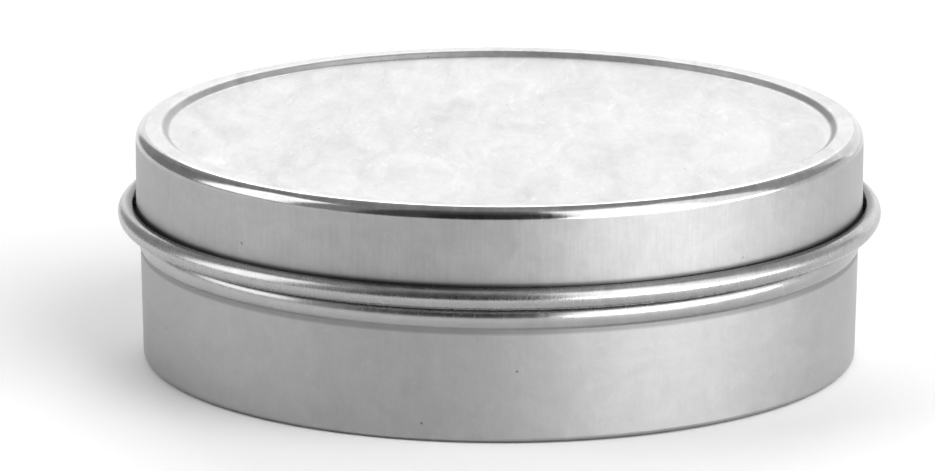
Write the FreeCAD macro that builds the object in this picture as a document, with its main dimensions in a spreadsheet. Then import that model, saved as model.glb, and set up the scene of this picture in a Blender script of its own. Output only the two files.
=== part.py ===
"""Shallow round candle tin: a drawn tinplate cup and a slip lid with a rolled edge.

Both pieces are one sheet of metal, drawn on the same axis. The frame is the closed tin's own:
+Z is up along that axis and the origin is the middle of the plane the tin stands on.
All sizes are in millimetres and sit in the "Sizes" spreadsheet.

Each piece is made the way its outside looks: a solid of revolution is rounded, hollowed to
one plate's thickness, and then gets its curled edge.
"""

import FreeCAD, Part
import math
import os

import Sketcher
from FreeCAD import Vector

SHEET = "Sizes"

# name, value, what it is
SIZES = [
    ("plate", 0.23, "thickness of the tinplate, the same in both pieces"),
    ("lid_radius", 31.75, "outside of the lid's skirt"),
    ("lid_height", 20.4, "top of the closed tin, at the lid's rim"),
    ("lid_corner", 1.1, "rounding between the lid's rim and its skirt"),
    ("panel_radius", 28.9, "flat sunken panel of the lid, at the foot of its slope"),
    ("panel_drop", 0.52, "depth of that panel below the rim, and run of its slope"),
    ("panel_round", 0.5, "rounding at the head and the foot of the slope"),
    ("roll_radius", 0.92, "outside of the lid's rolled edge, in section"),
    ("roll_height", 12.82, "middle of the lid's rolled edge"),
    ("roll_turn", 292.0, "degrees the rolled edge goes round"),
    ("neck_gap", 0.1, "clearance between the cup's neck and the lid's skirt"),
    ("mouth_gap", 0.04, "clearance between the cup's mouth and the lid's rim"),
    ("curl_radius", 0.72, "outside of the inward curl at the mouth, in section"),
    ("curl_turn", 300.0, "degrees the mouth curl goes round"),
    ("bead_radius", 31.68, "outside of the bead below the lid"),
    ("bead_round", 1.5, "rounding of the bead, in section"),
    ("bead_height", 10.78, "middle of the bead"),
    ("bead_hollow", 0.25, "rounding where the bead meets the wall and the neck"),
    ("foot_radius", 31.2, "outside of the wall at the foot, below its taper"),
    ("foot_round", 0.5, "rounding of the foot ring's outer and inner edges"),
    ("base_radius", 28.6, "flat raised panel of the base, at the head of its slope"),
    ("base_rise", 0.5, "height of that panel above the foot ring, and run of its slope"),
    ("base_round", 0.5, "rounding at the head of that slope"),
]
SIZE = {name: value for name, value, _ in SIZES}


def make_sizes(doc):
    """The spreadsheet that drives both pieces, one size to a row."""
    cells = doc.addObject("Spreadsheet::Sheet", SHEET)
    for row, (name, value, meaning) in enumerate(SIZES, start=1):
        cells.set(f"A{row}", name.replace("_", " "))
        cells.set(f"B{row}", str(value))
        cells.set(f"C{row}", meaning)
        cells.setAlias(f"B{row}", name)
    doc.recompute()


def formula(text):
    """The same sum over sizes, written for the spreadsheet."""
    return " ".join(f"{SHEET}.{word}" if word in SIZE else word for word in text.split())


def amount(text):
    """What a sum over sizes comes to: size names and numbers joined by + and -."""
    words = text.split()
    total = 0.0
    for sign, word in zip(["+"] + words[1::2], words[0::2]):
        value = SIZE[word] if word in SIZE else float(word)
        total += value if sign == "+" else -value
    return total


def section_sketch(body, name):
    """An empty sketch on the body's own XZ plane: radius across, height up."""
    sketch = body.newObject("Sketcher::SketchObject", name)
    plane = next(item for item in body.Origin.OriginFeatures if item.Role == "XZ_Plane")
    sketch.AttachmentSupport = [(plane, "")]
    sketch.MapMode = "FlatFace"
    return sketch


def bind(sketch, name, kind, places, text):
    """One named dimension of a sketch, driven by a sum over sizes."""
    value = amount(text)
    if kind == "Angle":
        value = math.radians(value)
    index = sketch.addConstraint(Sketcher.Constraint(kind, *places, value))
    sketch.renameConstraint(index, name)
    sketch.setExpression(f"Constraints.{name}", formula(text))


def pin(sketch, name, geometry, end, across, up):
    """Holds one point of a sketch at a radius and a height, each a sum over sizes."""
    if across == "0":
        sketch.addConstraint(Sketcher.Constraint("PointOnObject", geometry, end, -2))
    else:
        bind(sketch, name + "_across", "DistanceX", (-1, 1, geometry, end), across)
    if up == "0":
        sketch.addConstraint(Sketcher.Constraint("PointOnObject", geometry, end, -1))
    else:
        bind(sketch, name + "_up", "DistanceY", (-1, 1, geometry, end), up)


def draw_outline(sketch, corners):
    """A closed outline of straight sides through named corners (name, across, up)."""
    points = [Vector(amount(across), amount(up), 0) for _, across, up in corners]
    for here, there in zip(points, points[1:] + points[:1]):
        sketch.addGeometry(Part.LineSegment(here, there), False)
    for side, (name, across, up) in enumerate(corners):
        after = (side + 1) % len(corners)
        sketch.addConstraint(Sketcher.Constraint("Coincident", side, 2, after, 1))
        pin(sketch, name, side, 1, across, up)


def draw_curl(sketch, across, up, outside, start, turn_name):
    """A strip one plate thick that leaves a straight wall and curls round a centre.

    It starts level with the centre, at 0 or 180 degrees, and goes on anticlockwise.
    """
    centre = Vector(amount(across), amount(up), 0)
    first = math.radians(start)
    last = first + math.radians(amount(turn_name))
    inside = outside + " - plate"
    for text in (outside, inside):
        circle = Part.Circle(centre, Vector(0, 0, 1), amount(text))
        sketch.addGeometry(Part.ArcOfCircle(circle, first, last), False)
    for end in (1, 2):
        edge = Part.LineSegment(sketch.getPoint(0, end), sketch.getPoint(1, end))
        sketch.addGeometry(edge, False)
        sketch.addConstraint(Sketcher.Constraint("Coincident", 0, end, end + 1, 1))
        sketch.addConstraint(Sketcher.Constraint("Coincident", 1, end, end + 1, 2))
    sketch.addConstraint(Sketcher.Constraint("Coincident", 0, 3, 1, 3))
    sketch.addConstraint(Sketcher.Constraint("PointOnObject", 0, 3, 3))
    sketch.addConstraint(Sketcher.Constraint("Horizontal", 2))
    pin(sketch, "centre", 0, 3, across, up)
    bind(sketch, "outside", "Radius", (0,), outside)
    bind(sketch, "inside", "Radius", (1,), inside)
    bind(sketch, "turn", "Angle", (0,), turn_name)


def draw_round(sketch, across, up, radius):
    """A full circle round a centre."""
    centre = Vector(amount(across), amount(up), 0)
    sketch.addGeometry(Part.Circle(centre, Vector(0, 0, 1), amount(radius)), False)
    pin(sketch, "centre", 0, 3, across, up)
    bind(sketch, "radius", "Radius", (0,), radius)


def revolve(body, sketch, name):
    """Turns a section all the way round the tin's axis and adds it to the piece."""
    feature = body.newObject("PartDesign::Revolution", name)
    feature.Profile = sketch
    feature.ReferenceAxis = (sketch, ["V_Axis"])
    feature.Angle = 360
    sketch.Visibility = False
    feature.Document.recompute()
    return feature


def ring_edge(feature, radius, height):
    """The name of the round edge that lies nearest to a radius and a height."""
    rings = {}
    for number, edge in enumerate(feature.Shape.Edges, start=1):
        if isinstance(edge.Curve, Part.Circle) and abs(edge.Curve.Axis.z) > 0.9:
            miss = math.hypot(edge.Curve.Radius - radius, edge.Curve.Center.z - height)
            rings[f"Edge{number}"] = miss
    return min(rings, key=rings.get)


def round_rings(body, base, name, size, places):
    """Rounds the round edges nearest to some radii and heights, all by one size."""
    feature = body.newObject("PartDesign::Fillet", name)
    feature.Base = (base, [ring_edge(base, radius, height) for radius, height in places])
    feature.setExpression("Radius", formula(size))
    feature.Document.recompute()
    return feature


def flat_face(feature, height):
    """The name of the level face at a height."""
    for number, face in enumerate(feature.Shape.Faces, start=1):
        level = isinstance(face.Surface, Part.Plane)
        if level and abs(face.CenterOfMass.z - height) < 1e-4:
            return f"Face{number}"
    raise RuntimeError(f"{feature.Label} has no level face at {height:.3f}")


def hollow(body, base, name, height):
    """Leaves one plate's thickness inside the skin, open at the level face at that height."""
    feature = body.newObject("PartDesign::Thickness", name)
    feature.Base = (base, [flat_face(base, height)])
    feature.setExpression("Value", formula("plate"))
    feature.Reversed = True
    feature.Join = "Intersection"
    feature.Document.recompute()
    return feature


def make_lid(doc):
    """The lid: sunken panel, plain skirt, and an edge rolled outwards and up."""
    body = doc.addObject("PartDesign::Body", "lid")
    outline = section_sketch(body, "LidOutline")
    draw_outline(outline, [
        ("panel_middle", "0", "lid_height - panel_drop"),
        ("panel_edge", "panel_radius", "lid_height - panel_drop"),
        ("rim_inner", "panel_radius + panel_drop", "lid_height"),
        ("rim_outer", "lid_radius", "lid_height"),
        ("skirt_foot", "lid_radius", "roll_height"),
        ("foot_middle", "0", "roll_height"),
    ])
    blank = revolve(body, outline, "LidBlank")
    top = amount("lid_height")
    corner = [(amount("lid_radius"), top)]
    step = [
        (amount("panel_radius"), top - amount("panel_drop")),
        (amount("panel_radius + panel_drop"), top),
    ]
    cornered = round_rings(body, blank, "LidCorner", "lid_corner", corner)
    rounded = round_rings(body, cornered, "PanelStep", "panel_round", step)
    hollow(body, rounded, "LidSheet", amount("roll_height"))
    roll = section_sketch(body, "RollSection")
    across = "lid_radius + roll_radius - plate"
    draw_curl(roll, across, "roll_height", "roll_radius", 180, "roll_turn")
    revolve(body, roll, "RolledEdge")
    return body


def make_cup(doc):
    """The cup: raised base panel on a foot ring, tapered wall, bead, neck and mouth curl."""
    body = doc.addObject("PartDesign::Body", "tin_body")
    neck = "lid_radius - plate - neck_gap"
    mouth = "lid_height - plate - mouth_gap - curl_radius"
    outline = section_sketch(body, "CupOutline")
    draw_outline(outline, [
        ("base_middle", "0", "base_rise"),
        ("base_edge", "base_radius", "base_rise"),
        ("foot_inner", "base_radius + base_rise", "0"),
        ("foot_outer", "foot_radius", "0"),
        ("wall_head", neck, "bead_height"),
        ("neck_head", neck, mouth),
        ("mouth_middle", "0", mouth),
    ])
    blank = revolve(body, outline, "CupBlank")
    ring = section_sketch(body, "BeadSection")
    draw_round(ring, "bead_radius - bead_round", "bead_height", "bead_round")
    beaded = revolve(body, ring, "Bead")

    reach = amount("bead_round")
    inset = amount("bead_radius") - reach
    rise = math.sqrt(reach ** 2 - (amount(neck) - inset) ** 2)
    meets = [
        (amount(neck), amount("bead_height") - rise),
        (amount(neck), amount("bead_height") + rise),
    ]
    foot = [(amount("foot_radius"), 0), (amount("base_radius + base_rise"), 0)]
    base = [(amount("base_radius"), amount("base_rise"))]
    blended = round_rings(body, beaded, "BeadHollows", "bead_hollow", meets)
    footed = round_rings(body, blended, "FootRing", "foot_round", foot)
    rounded = round_rings(body, footed, "BaseStep", "base_round", base)
    hollow(body, rounded, "CupSheet", amount(mouth))
    curl = section_sketch(body, "CurlSection")
    draw_curl(curl, neck + " - curl_radius", mouth, "curl_radius", 0, "curl_turn")
    revolve(body, curl, "MouthCurl")
    return body


def check(doc, bodies):
    """Stops the build if any step failed or a piece isn't one sound solid."""
    for item in doc.Objects:
        if "Invalid" in item.State or "Error" in item.State:
            raise RuntimeError(f"{item.Label} did not build: {item.State}")
    for body in bodies:
        shape = body.Shape
        if shape.isNull() or not shape.isValid() or len(shape.Solids) != 1:
            raise RuntimeError(f"{body.Label} is not one sound solid")


def main():
    doc = FreeCAD.newDocument("CandleTin")
    make_sizes(doc)
    bodies = [make_cup(doc), make_lid(doc)]
    doc.recompute()
    check(doc, bodies)
    os.makedirs("parts", exist_ok=True)
    for body in bodies:
        body.Shape.exportStep(f"parts/{body.Label}.step")


main()
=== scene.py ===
"""Looks of the shallow candle tin: cup and slip lid in bright drawn tinplate.

Every piece of sheet metal is swept once round the tin's axis from the middle line of its
section. Lengths of the sections and materials are in millimetres, the rest in metres.
"""

import math

import bpy
from mathutils import Matrix, Vector

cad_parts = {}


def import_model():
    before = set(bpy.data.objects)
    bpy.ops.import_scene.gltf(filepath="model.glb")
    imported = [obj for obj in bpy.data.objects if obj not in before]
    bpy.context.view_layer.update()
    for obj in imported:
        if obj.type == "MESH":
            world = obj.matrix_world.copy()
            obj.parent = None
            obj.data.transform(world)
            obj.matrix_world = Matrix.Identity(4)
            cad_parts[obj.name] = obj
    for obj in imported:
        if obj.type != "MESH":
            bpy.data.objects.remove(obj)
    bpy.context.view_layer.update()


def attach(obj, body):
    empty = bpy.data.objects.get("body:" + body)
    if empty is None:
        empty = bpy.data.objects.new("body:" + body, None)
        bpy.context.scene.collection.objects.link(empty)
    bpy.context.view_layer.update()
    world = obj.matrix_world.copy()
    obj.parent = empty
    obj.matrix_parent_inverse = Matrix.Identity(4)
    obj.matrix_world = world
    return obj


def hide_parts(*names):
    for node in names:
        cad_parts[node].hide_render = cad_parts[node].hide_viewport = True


MM = 0.001
TURN_STEPS = 384      # quads round the axis
ARC_STEP = 6          # degrees along a bend, at most
ON_AXIS = 1e-6        # closer to the axis than this is the axis itself

# The tin's sizes in millimetres, as in the CAD but for the roll, which is 0.006 mm
# smaller so that it stays inside the CAD's box.
PLATE = 0.23
LID_RADIUS = 31.75
LID_HEIGHT = 20.4
LID_CORNER = 1.1
PANEL_RADIUS = 28.9
PANEL_DROP = 0.52
PANEL_ROUND = 0.5
ROLL_RADIUS = 0.914
ROLL_HEIGHT = 12.82
ROLL_TURN = 292.0
NECK_GAP = 0.1
MOUTH_GAP = 0.04
CURL_RADIUS = 0.72
CURL_TURN = 300.0
BEAD_RADIUS = 31.68
BEAD_ROUND = 1.5
BEAD_HEIGHT = 10.78
BEAD_HOLLOW = 0.25
FOOT_RADIUS = 31.2
FOOT_ROUND = 0.5
BASE_RADIUS = 28.6
BASE_RISE = 0.5
BASE_ROUND = 0.5


# ---------------------------------------------------------------- sections

def arc(centre, radius, start, stop):
    """Points of a middle line along an arc, as (r, z, heading), angles in degrees.

    A stop above the start runs anticlockwise, and one below it clockwise.
    """
    side = 1 if stop > start else -1
    steps = max(5, math.ceil(abs(stop - start) / ARC_STEP))
    points = []
    for i in range(steps + 1):
        angle = math.radians(start + (stop - start) * i / steps)
        r = centre[0] + radius * math.cos(angle)
        z = centre[1] + radius * math.sin(angle)
        points.append((r, z, angle + side * math.pi / 2))
    return points


def bend(before, corner, after, radius):
    """Points of a middle line that rounds a corner between two straight runs."""
    a = Vector(before) - Vector(corner)
    b = Vector(after) - Vector(corner)
    a.normalize()
    b.normalize()
    half = a.angle(b) / 2
    middle = (a + b).normalized()
    centre = Vector(corner) + middle * (radius / math.sin(half))
    reach = radius / math.tan(half)
    first = Vector(corner) + a * reach - centre
    last = Vector(corner) + b * reach - centre
    start = math.degrees(math.atan2(first.y, first.x))
    stop = math.degrees(math.atan2(last.y, last.x))
    turn = (stop - start + 180) % 360 - 180
    return arc(centre, radius, start, start + turn)


def lid_line():
    """Middle line of the lid's sheet, from the middle of the panel out to the raw edge."""
    half = PLATE / 2
    skew = half * math.tan(math.radians(22.5))
    panel = LID_HEIGHT - PANEL_DROP - half
    rim = LID_HEIGHT - half
    foot = (PANEL_RADIUS + skew, panel)
    head = (PANEL_RADIUS + PANEL_DROP + skew, rim)
    corner = (LID_RADIUS - half, rim)
    skirt = (LID_RADIUS - half, ROLL_HEIGHT)
    points = [(0.0, panel, 0.0)]
    points += bend((0, panel), foot, head, PANEL_ROUND + half)
    points += bend(foot, head, corner, PANEL_ROUND - half)
    points += bend(head, corner, skirt, LID_CORNER - half)
    centre = (LID_RADIUS + ROLL_RADIUS - PLATE, ROLL_HEIGHT)
    points += arc(centre, ROLL_RADIUS - half, 180, 180 + ROLL_TURN)
    return points


def cup_line():
    """Middle line of the cup's sheet, from the middle of the base up to the raw edge."""
    half = PLATE / 2
    skew = half * math.tan(math.radians(22.5))
    neck = LID_RADIUS - PLATE - NECK_GAP
    panel = BASE_RISE + half
    head = (BASE_RADIUS + skew, panel)
    ring = (BASE_RADIUS + BASE_RISE + skew, half)
    lean = math.atan2(neck - FOOT_RADIUS, BEAD_HEIGHT)
    out = Vector((math.cos(lean), -math.sin(lean)))
    up = Vector((math.sin(lean), math.cos(lean)))
    wall = Vector((FOOT_RADIUS, 0)) - out * half
    foot = wall + up * ((half - wall.y) / up.y)

    bead = Vector((BEAD_RADIUS - BEAD_ROUND, BEAD_HEIGHT))
    hollow = BEAD_HOLLOW + half
    reach = BEAD_ROUND + BEAD_HOLLOW
    level = wall + out * hollow
    along = (bead - level).dot(up)
    aside = (bead - level).dot(out)
    low = level + up * (along - math.sqrt(reach ** 2 - aside ** 2))
    across = neck + BEAD_HOLLOW
    high = Vector((across, bead.y + math.sqrt(reach ** 2 - (across - bead.x) ** 2)))

    below = math.degrees(math.atan2(low.y - bead.y, low.x - bead.x))
    above = math.degrees(math.atan2(high.y - bead.y, high.x - bead.x))
    tilt = math.degrees(lean)
    points = [(0.0, panel, 0.0)]
    points += bend((0, panel), head, ring, BASE_ROUND - half)
    points += bend(head, ring, foot, FOOT_ROUND - half)
    points += bend(ring, foot, tuple(foot + up), FOOT_ROUND - half)
    points += arc(low, hollow, 180 - tilt, 180 + below)
    points += arc(bead, BEAD_ROUND - half, below, above)
    points += arc(high, hollow, 180 + above, 180)
    mouth = LID_HEIGHT - PLATE - MOUTH_GAP - CURL_RADIUS
    points += arc((neck - CURL_RADIUS, mouth), CURL_RADIUS - half, 0, CURL_TURN)
    return points


def sweep(name, line):
    """One mesh of the sheet: both faces of the middle line and its raw edge, swept round."""
    half = PLATE / 2
    left, right = [], []
    for r, z, heading in line:
        nr, nz = -math.sin(heading), math.cos(heading)
        left.append(((r + nr * half, z + nz * half), (nr, nz)))
        right.append(((r - nr * half, z - nz * half), (-nr, -nz)))
    tip = (math.cos(line[-1][2]), math.sin(line[-1][2]))
    strips = [(left[i + 1], left[i]) for i in range(len(left) - 1)]
    strips += [((right[-1][0], tip), (left[-1][0], tip))]
    strips += [(right[i], right[i + 1]) for i in range(len(right) - 1)]

    verts, rows, faces, normals = [], {}, [], []
    for point in [p for p, _ in left] + [p for p, _ in right]:
        if point in rows:
            continue
        if point[0] < ON_AXIS:
            rows[point] = [len(verts)] * TURN_STEPS
            verts.append((0, 0, point[1] * MM))
            continue
        rows[point] = list(range(len(verts), len(verts) + TURN_STEPS))
        for i in range(TURN_STEPS):
            angle = 2 * math.pi * i / TURN_STEPS
            r = point[0] * MM
            verts.append((r * math.cos(angle), r * math.sin(angle), point[1] * MM))
    for (upper, upper_normal), (lower, lower_normal) in strips:
        for i in range(TURN_STEPS):
            j = (i + 1) % TURN_STEPS
            corners = [(lower, lower_normal, j), (lower, lower_normal, i),
                       (upper, upper_normal, i), (upper, upper_normal, j)]
            ring, turned = [], []
            for point, (nr, nz), k in corners:
                vert = rows[point][k]
                if vert in ring:
                    continue
                angle = 2 * math.pi * k / TURN_STEPS
                ring.append(vert)
                turned.append((nr * math.cos(angle), nr * math.sin(angle), nz))
            faces.append(ring)
            normals += turned
    mesh = bpy.data.meshes.new(name)
    mesh.from_pydata(verts, [], faces)
    mesh.shade_smooth()
    mesh.normals_split_custom_set(normals)
    piece = bpy.data.objects.new(name, mesh)
    bpy.context.scene.collection.objects.link(piece)
    return piece


# ---------------------------------------------------------------- materials

class Nodes:
    """Short calls for building a node tree."""

    def __init__(self, tree):
        self.tree = tree
        tree.nodes.clear()

    def add(self, kind, inputs=None, **settings):
        node = self.tree.nodes.new(kind)
        for name, value in settings.items():
            setattr(node, name, value)
        for key, value in (inputs or {}).items():
            if isinstance(value, bpy.types.NodeSocket):
                self.tree.links.new(value, node.inputs[key])
            else:
                node.inputs[key].default_value = value
        return node

    def math(self, operation, a, b=0.0, c=0.0):
        return self.add("ShaderNodeMath", {0: a, 1: b, 2: c}, operation=operation).outputs[0]

    def ramp(self, value, low, high, out_low=0.0, out_high=1.0):
        """Smooth step from out_low at low to out_high at high."""
        node = self.add("ShaderNodeMapRange", {
            "Value": value, "From Min": low, "From Max": high,
            "To Min": out_low, "To Max": out_high}, interpolation_type="SMOOTHSTEP")
        return node.outputs[0]

    def noise(self, vector, scale, detail=4.0, rough=0.55, distort=0.0):
        node = self.add("ShaderNodeTexNoise", {
            "Vector": vector, "Scale": scale, "Detail": detail,
            "Roughness": rough, "Distortion": distort})
        return node.outputs[0]

    def stretch(self, vector, x, y, z):
        node = self.add("ShaderNodeVectorMath", {0: vector, 1: (x, y, z)},
                        operation="MULTIPLY")
        return node.outputs[0]

    def grey(self, value):
        return self.add("ShaderNodeCombineColor",
                        {"Red": value, "Green": value, "Blue": value}).outputs[0]


# Bends that the tools rubbed smoother than the flat metal: lowest and highest radius,
# lowest and highest height and softness of the edges, all in mm, and roughness.
LID_BENDS = [
    (30.85, 33.5, 19.38, 20.9, 0.20, 0.15),    # corner
    (31.85, 33.5, 11.5, 14.0, 0.12, 0.27),     # rolled edge
    (28.6, 29.60, 19.7, 20.6, 0.12, 0.45),     # step of the panel
]
CUP_BENDS = [
    (30.0, 32.0, 9.95, 11.7, 0.25, 0.25),      # bead
    (30.75, 32.0, -0.2, 0.45, 0.12, 0.35),     # foot
    (29.5, 31.3, 18.6, 20.3, 0.12, 0.30),      # mouth curl
]

# Noises of the metal: scale per mm, detail, roughness and distortion.
BIG = (0.27, 4, 0.6, 1.2)      # clouds
SMALL = (0.9, 5, 0.65, 0.8)    # mottling
FLECK = (1.0, 3, 0.6, 1.5)     # light flecks, where this noise is high
FINE = (7.0, 3, 0.6, 0.0)      # grain
BROAD = (1.0, 3, 0.6, 0.0)     # broad draw marks
MARKS = (5.0, 3, 0.65, 0.0)    # narrow ones
FLECK_FROM, FLECK_FULL = 0.60, 0.72
ROLLED = 0.3                   # squeeze that draws clouds out along the rolling direction
BROAD_DRAWN, MARKS_DRAWN = 0.20, 0.06      # the same for draw marks, upright
WALL_FROM, WALL_FULL = 0.35, 0.8           # how level the metal is from wall to panel
BIG_SHARE, SMALL_SHARE, FLECK_SHARE, FINE_SHARE, BROAD_SHARE = 0.9, 0.8, 0.22, 0.35, 0.5
ROUGH_SWING = 0.12             # how far mottling and marks move the roughness
FINE_BUMP, STREAK_BUMP, BIG_BUMP = 0.0005, 0.004, 0.005
BUMP_DISTANCE = 0.001

SHADE = 0.38                   # grey of the metal, the same for both pieces
LID_ROUGH, CUP_ROUGH = 0.47, 0.50
LID_CLOUD, CUP_CLOUD = 0.24, 0.22      # strength of the cloudy grain
LID_STREAK, CUP_STREAK = 0.09, 0.05    # strength of the upright draw marks
WALL_CLOUD = -0.6              # how much less cloudy the drawn walls are
PIT_SCALE, PIT_CORE, PIT_EDGE, PIT_SHADE = 0.26, 0.020, 0.034, 0.45
CREASE_SHADE_CORE = 0.35             # painted shade is darkest up to this share of the way out

# Creases with painted shade, a darker colour put where shade falls: radius and height of the
# middle, unshaded from this far out, all in mm, and how much darker the metal is painted in the
# middle.
LID_CREASE_SHADE = [(32.44, 12.82, 0.90, 0.85),     # inside of the rolled edge
               (32.10, 13.58, 0.62, 0.85),     # its mouth
               (32.28, 13.74, 0.68, 0.65)]     # its upper side, painted shade for the dark gap that the roll reflects
CUP_CREASE_SHADE = [(31.40, 9.80, 0.48, 0.34),      # below the bead
               (31.45, 11.75, 0.45, 0.65),     # above it
               (31.00, 0.00, 0.40, 0.40)]      # foot


def window(n, value, low, high, soft):
    """1 between low and high, 0 outside, with soft ends."""
    rise = n.ramp(value, low - soft, low + soft)
    fall = n.ramp(value, high - soft, high + soft, 1.0, 0.0)
    return n.math("MULTIPLY", rise, fall)


def tinplate(name, rough, bends, crease_shade, cloud, streak):
    """Bright tinplate: cloudy grain with light flecks, upright draw marks on the walls,
    smoother bends and painted shade in the creases."""
    material = bpy.data.materials.new(name)
    material.use_nodes = True
    n = Nodes(material.node_tree)
    place = n.add("ShaderNodeTexCoord").outputs["Object"]
    spot = n.stretch(place, 1 / MM, 1 / MM, 1 / MM)
    axes = n.add("ShaderNodeSeparateXYZ", {0: spot})
    x, y, z = (axes.outputs[k] for k in "XYZ")
    radius = n.math("SQRT", n.math("ADD", n.math("MULTIPLY", x, x), n.math("MULTIPLY", y, y)))
    facing = n.add("ShaderNodeNewGeometry").outputs["Normal"]
    level = n.add("ShaderNodeSeparateXYZ", {0: facing}).outputs["Z"]
    wall = n.ramp(n.math("ABSOLUTE", level), WALL_FROM, WALL_FULL, 1.0, 0.0)

    rolled = n.stretch(spot, 1, ROLLED, 1)
    drawn = n.stretch(spot, 1, 1, BROAD_DRAWN)
    thin = n.stretch(spot, 1, 1, MARKS_DRAWN)
    big = n.math("SUBTRACT", n.noise(rolled, *BIG), 0.5)
    small = n.math("SUBTRACT", n.noise(rolled, *SMALL), 0.5)
    fine = n.math("SUBTRACT", n.noise(spot, *FINE), 0.5)
    fleck = n.ramp(n.noise(rolled, *FLECK), FLECK_FROM, FLECK_FULL)
    broad = n.math("SUBTRACT", n.noise(drawn, *BROAD), 0.5)
    marks = n.math("SUBTRACT", n.noise(thin, *MARKS), 0.5)

    cloudy = n.math("MULTIPLY_ADD", big, BIG_SHARE, n.math("MULTIPLY", small, SMALL_SHARE))
    cloudy = n.math("MULTIPLY_ADD", fleck, FLECK_SHARE, cloudy)
    cloudy = n.math("MULTIPLY_ADD", fine, FINE_SHARE, cloudy)
    both = n.math("ADD", n.math("MULTIPLY", broad, BROAD_SHARE), marks)
    streaky = n.math("MULTIPLY", both, wall)
    cloudy = n.math("MULTIPLY", cloudy, n.math("MULTIPLY_ADD", wall, WALL_CLOUD, 1.0))
    value = n.math("MULTIPLY_ADD", cloudy, cloud, SHADE)
    value = n.math("MULTIPLY_ADD", streaky, streak, value)
    # painted shade: each crease darkens the colour towards its middle, standing in for the shade
    # there
    for r_mid, z_mid, shade_reach, darker in crease_shade:
        across = n.math("SUBTRACT", radius, r_mid)
        along = n.math("SUBTRACT", z, z_mid)
        away = n.math("SQRT", n.math("MULTIPLY_ADD", across, across,
                                     n.math("MULTIPLY", along, along)))
        value = n.math("MULTIPLY", value,
                       n.ramp(away, shade_reach * CREASE_SHADE_CORE, shade_reach, 1.0 - darker, 1.0))
    pit = n.add("ShaderNodeTexVoronoi", {"Vector": spot, "Scale": PIT_SCALE}).outputs["Distance"]
    value = n.math("MULTIPLY", value, n.ramp(pit, PIT_CORE, PIT_EDGE, PIT_SHADE, 1.0))

    dull = rough
    for r_low, r_high, z_low, z_high, soft, smooth in bends:
        band = n.math("MULTIPLY", window(n, radius, r_low, r_high, soft),
                      window(n, z, z_low, z_high, soft))
        dull = n.add("ShaderNodeMix", {"Factor": band, "A": dull, "B": smooth}).outputs[0]
    dull = n.math("MULTIPLY_ADD", small, ROUGH_SWING, dull)
    dull = n.math("MULTIPLY_ADD", streaky, ROUGH_SWING, dull)

    height = n.math("MULTIPLY", fine, FINE_BUMP)
    height = n.math("MULTIPLY_ADD", streaky, STREAK_BUMP, height)
    height = n.math("MULTIPLY_ADD", big, BIG_BUMP, height)
    bump = n.add("ShaderNodeBump", {
        "Strength": 1.0, "Distance": BUMP_DISTANCE, "Height": height})

    shader = n.add("ShaderNodeBsdfPrincipled", {
        "Base Color": n.grey(value), "Metallic": 1.0, "Roughness": dull,
        "Normal": bump.outputs[0]})
    n.add("ShaderNodeOutputMaterial", {"Surface": shader.outputs[0]})
    return material


def dress(piece, material):
    """Gives a piece its only material."""
    piece.data.materials.clear()
    piece.data.materials.append(material)


# ---------------------------------------------------------------- studio

FLOOR_REACH = 3.0        # from the tin to each edge
FLOOR_DROP = 0.00002     # below the foot, so that the two don't touch


def floor():
    """A plain pale sheet of paper with a hint of fibre."""
    size = FLOOR_REACH
    mesh = bpy.data.meshes.new("floor")
    corners = [(-size, -size, 0), (size, -size, 0), (size, size, 0), (-size, size, 0)]
    mesh.from_pydata(corners, [], [(0, 1, 2, 3)])
    ground = bpy.data.objects.new("floor", mesh)
    ground.location.z = -FLOOR_DROP
    bpy.context.scene.collection.objects.link(ground)
    material = bpy.data.materials.new("floor_paper")
    material.use_nodes = True
    n = Nodes(material.node_tree)
    place = n.add("ShaderNodeTexCoord").outputs["Object"]
    fibre = n.noise(place, 900.0, 3, 0.6)
    shader = n.add("ShaderNodeBsdfDiffuse",
                   {"Color": n.grey(n.math("MULTIPLY_ADD", fibre, 0.01, 0.99))})
    n.add("ShaderNodeOutputMaterial", {"Surface": shader.outputs[0]})
    mesh.materials.append(material)


# Lights and walls of the studio, far from the tin: first and last azimuth, lowest and
# highest elevation, radiance. Azimuth 0 is the camera's side, and 90 is +X.
STUDIO = [
    (22, 46, -1, 8, 10.3),       # bright foot of the right box
    (46, 70, -1, 8, 16.2),
    (70, 95, -1, 8, 7.6),
    (22, 70, 8, 64, 2.7),        # right box
    (70, 95, 8, 62, 1.9),
    (-107, -69, 4, 50, 2.6),     # left box
    (143, 200, -1, 27, 1.35),    # pale sweep behind
    (200, 217, -1, 27, 0.4),
    (162, 198, 27, 45, 5.6),     # back box
    (145, 162, 27, 45, 0.8),
    (198, 217, 27, 45, 0.5),
    (95, 145, -1, 12, 1.0),      # room
    (95, 145, 12, 45, 0.6),
    (-143, -107, -1, 45, 0.35),
    (-69, -45, -1, 45, 0.4),
    (-45, -22, -1, 45, 0.1),
    (-22, 22, -1, 45, 0.04),
    (-143, -45, 45, 60, 0.4),    # ceiling
    (-45, 22, 45, 65, 0.12),
    (-45, 22, 65, 75, 0.27),
    (95, 217, 45, 60, 0.5),
    (22, 95, 64, 72, 0.9),
    (-143, -45, 60, 75, 0.4),
    (-143, 22, 75, 91, 0.42),
    (22, 95, 72, 91, 0.65),
    (95, 217, 60, 91, 0.5),
    (-143, 217, -91, -4, 0.5),   # below the floor, for a look at the underside
]
BOX_EDGE = 3.0       # degrees over which a window fades out
BRIGHTNESS = 1.04


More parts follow.
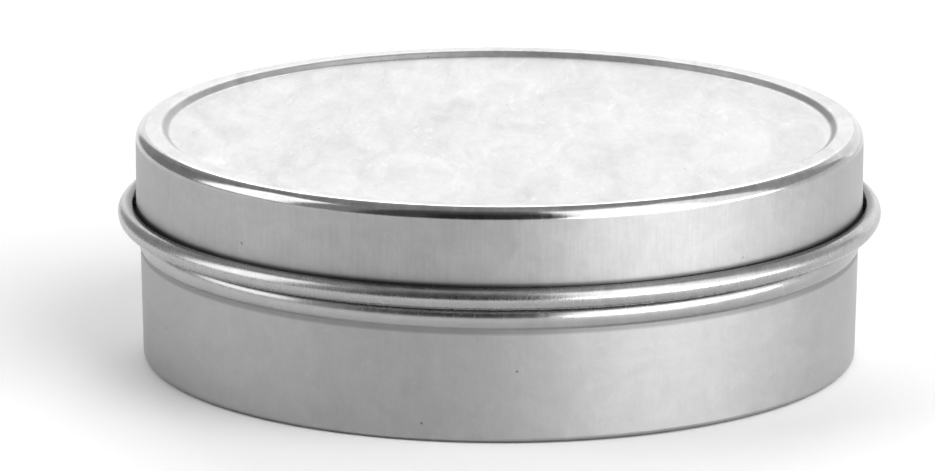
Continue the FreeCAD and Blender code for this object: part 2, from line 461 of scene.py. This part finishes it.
def studio_world():
    """Soft studio: a large box at the right, a smaller one at the left, a pale sweep and a
    box behind, and a dim room in front."""
    world = bpy.data.worlds.new("studio")
    bpy.context.scene.world = world
    world.use_nodes = True
    n = Nodes(world.node_tree)
    way = n.add("ShaderNodeTexCoord").outputs["Generated"]
    axes = n.add("ShaderNodeSeparateXYZ", {0: way})
    x, y, z = (axes.outputs[k] for k in "XYZ")
    azimuth = n.math("ARCTAN2", x, n.math("MULTIPLY", y, -1.0))
    azimuth = n.math("MULTIPLY", azimuth, 180 / math.pi)
    height = n.math("MULTIPLY", n.math("ARCSINE", z), 180 / math.pi)
    total = 0.0
    for left, right, low, high, radiance in STUDIO:
        aside = n.math("SUBTRACT", azimuth, (left + right) / 2)
        aside = n.math("ABSOLUTE", n.math("WRAP", aside, 180.0, -180.0))
        half = (right - left) / 2
        across = n.ramp(aside, half - BOX_EDGE / 2, half + BOX_EDGE / 2, 1.0, 0.0)
        along = window(n, height, low, high, BOX_EDGE / 2)
        part = n.math("MULTIPLY", across, along)
        total = n.math("MULTIPLY_ADD", part, radiance, total)
    light = n.add("ShaderNodeBackground", {"Color": n.grey(total), "Strength": BRIGHTNESS})
    n.add("ShaderNodeOutputWorld", {"Surface": light.outputs[0]})


EYE_AWAY = 0.635         # from the origin
EYE_HEIGHT = 14.76       # degrees above the floor
EYE_PITCH = -0.90        # degrees, down from the line to the origin
EYE_YAW, EYE_ROLL = -0.00447, 0.0011       # radians
SENSOR, FOCAL = 36.0, 277.7                # mm


def camera():
    """Long lens, 635 mm away, a little above the tin."""
    away, height, pitch = EYE_AWAY, math.radians(EYE_HEIGHT), math.radians(EYE_PITCH)
    yaw, roll = EYE_YAW, EYE_ROLL
    lens = bpy.data.cameras.new("camera")
    lens.sensor_width = SENSOR
    lens.lens = FOCAL
    eye = bpy.data.objects.new("camera", lens)
    eye.location = (0, -away * math.cos(height), away * math.sin(height))
    down = height + pitch
    eye.rotation_mode = "XYZ"
    look = Vector((math.sin(yaw) * math.cos(down), math.cos(yaw) * math.cos(down),
                   -math.sin(down)))
    turn = look.to_track_quat("-Z", "Y").to_matrix()
    turn = turn @ Matrix.Rotation(roll, 3, "Z")
    eye.rotation_euler = turn.to_euler()
    bpy.context.scene.collection.objects.link(eye)
    bpy.context.scene.camera = eye


def main():
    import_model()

    cup = sweep("cup", cup_line())
    lid = sweep("slip_lid", lid_line())
    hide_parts("tin_body")
    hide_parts("lid")
    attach(cup, "cup")
    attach(lid, "lid")
    dress(cup, tinplate("cup_tinplate", CUP_ROUGH, CUP_BENDS, CUP_CREASE_SHADE,
                        CUP_CLOUD, CUP_STREAK))
    dress(lid, tinplate("lid_tinplate", LID_ROUGH, LID_BENDS, LID_CREASE_SHADE,
                        LID_CLOUD, LID_STREAK))

    floor()
    studio_world()
    camera()
    bpy.context.scene.view_settings.view_transform = "Standard"


main()
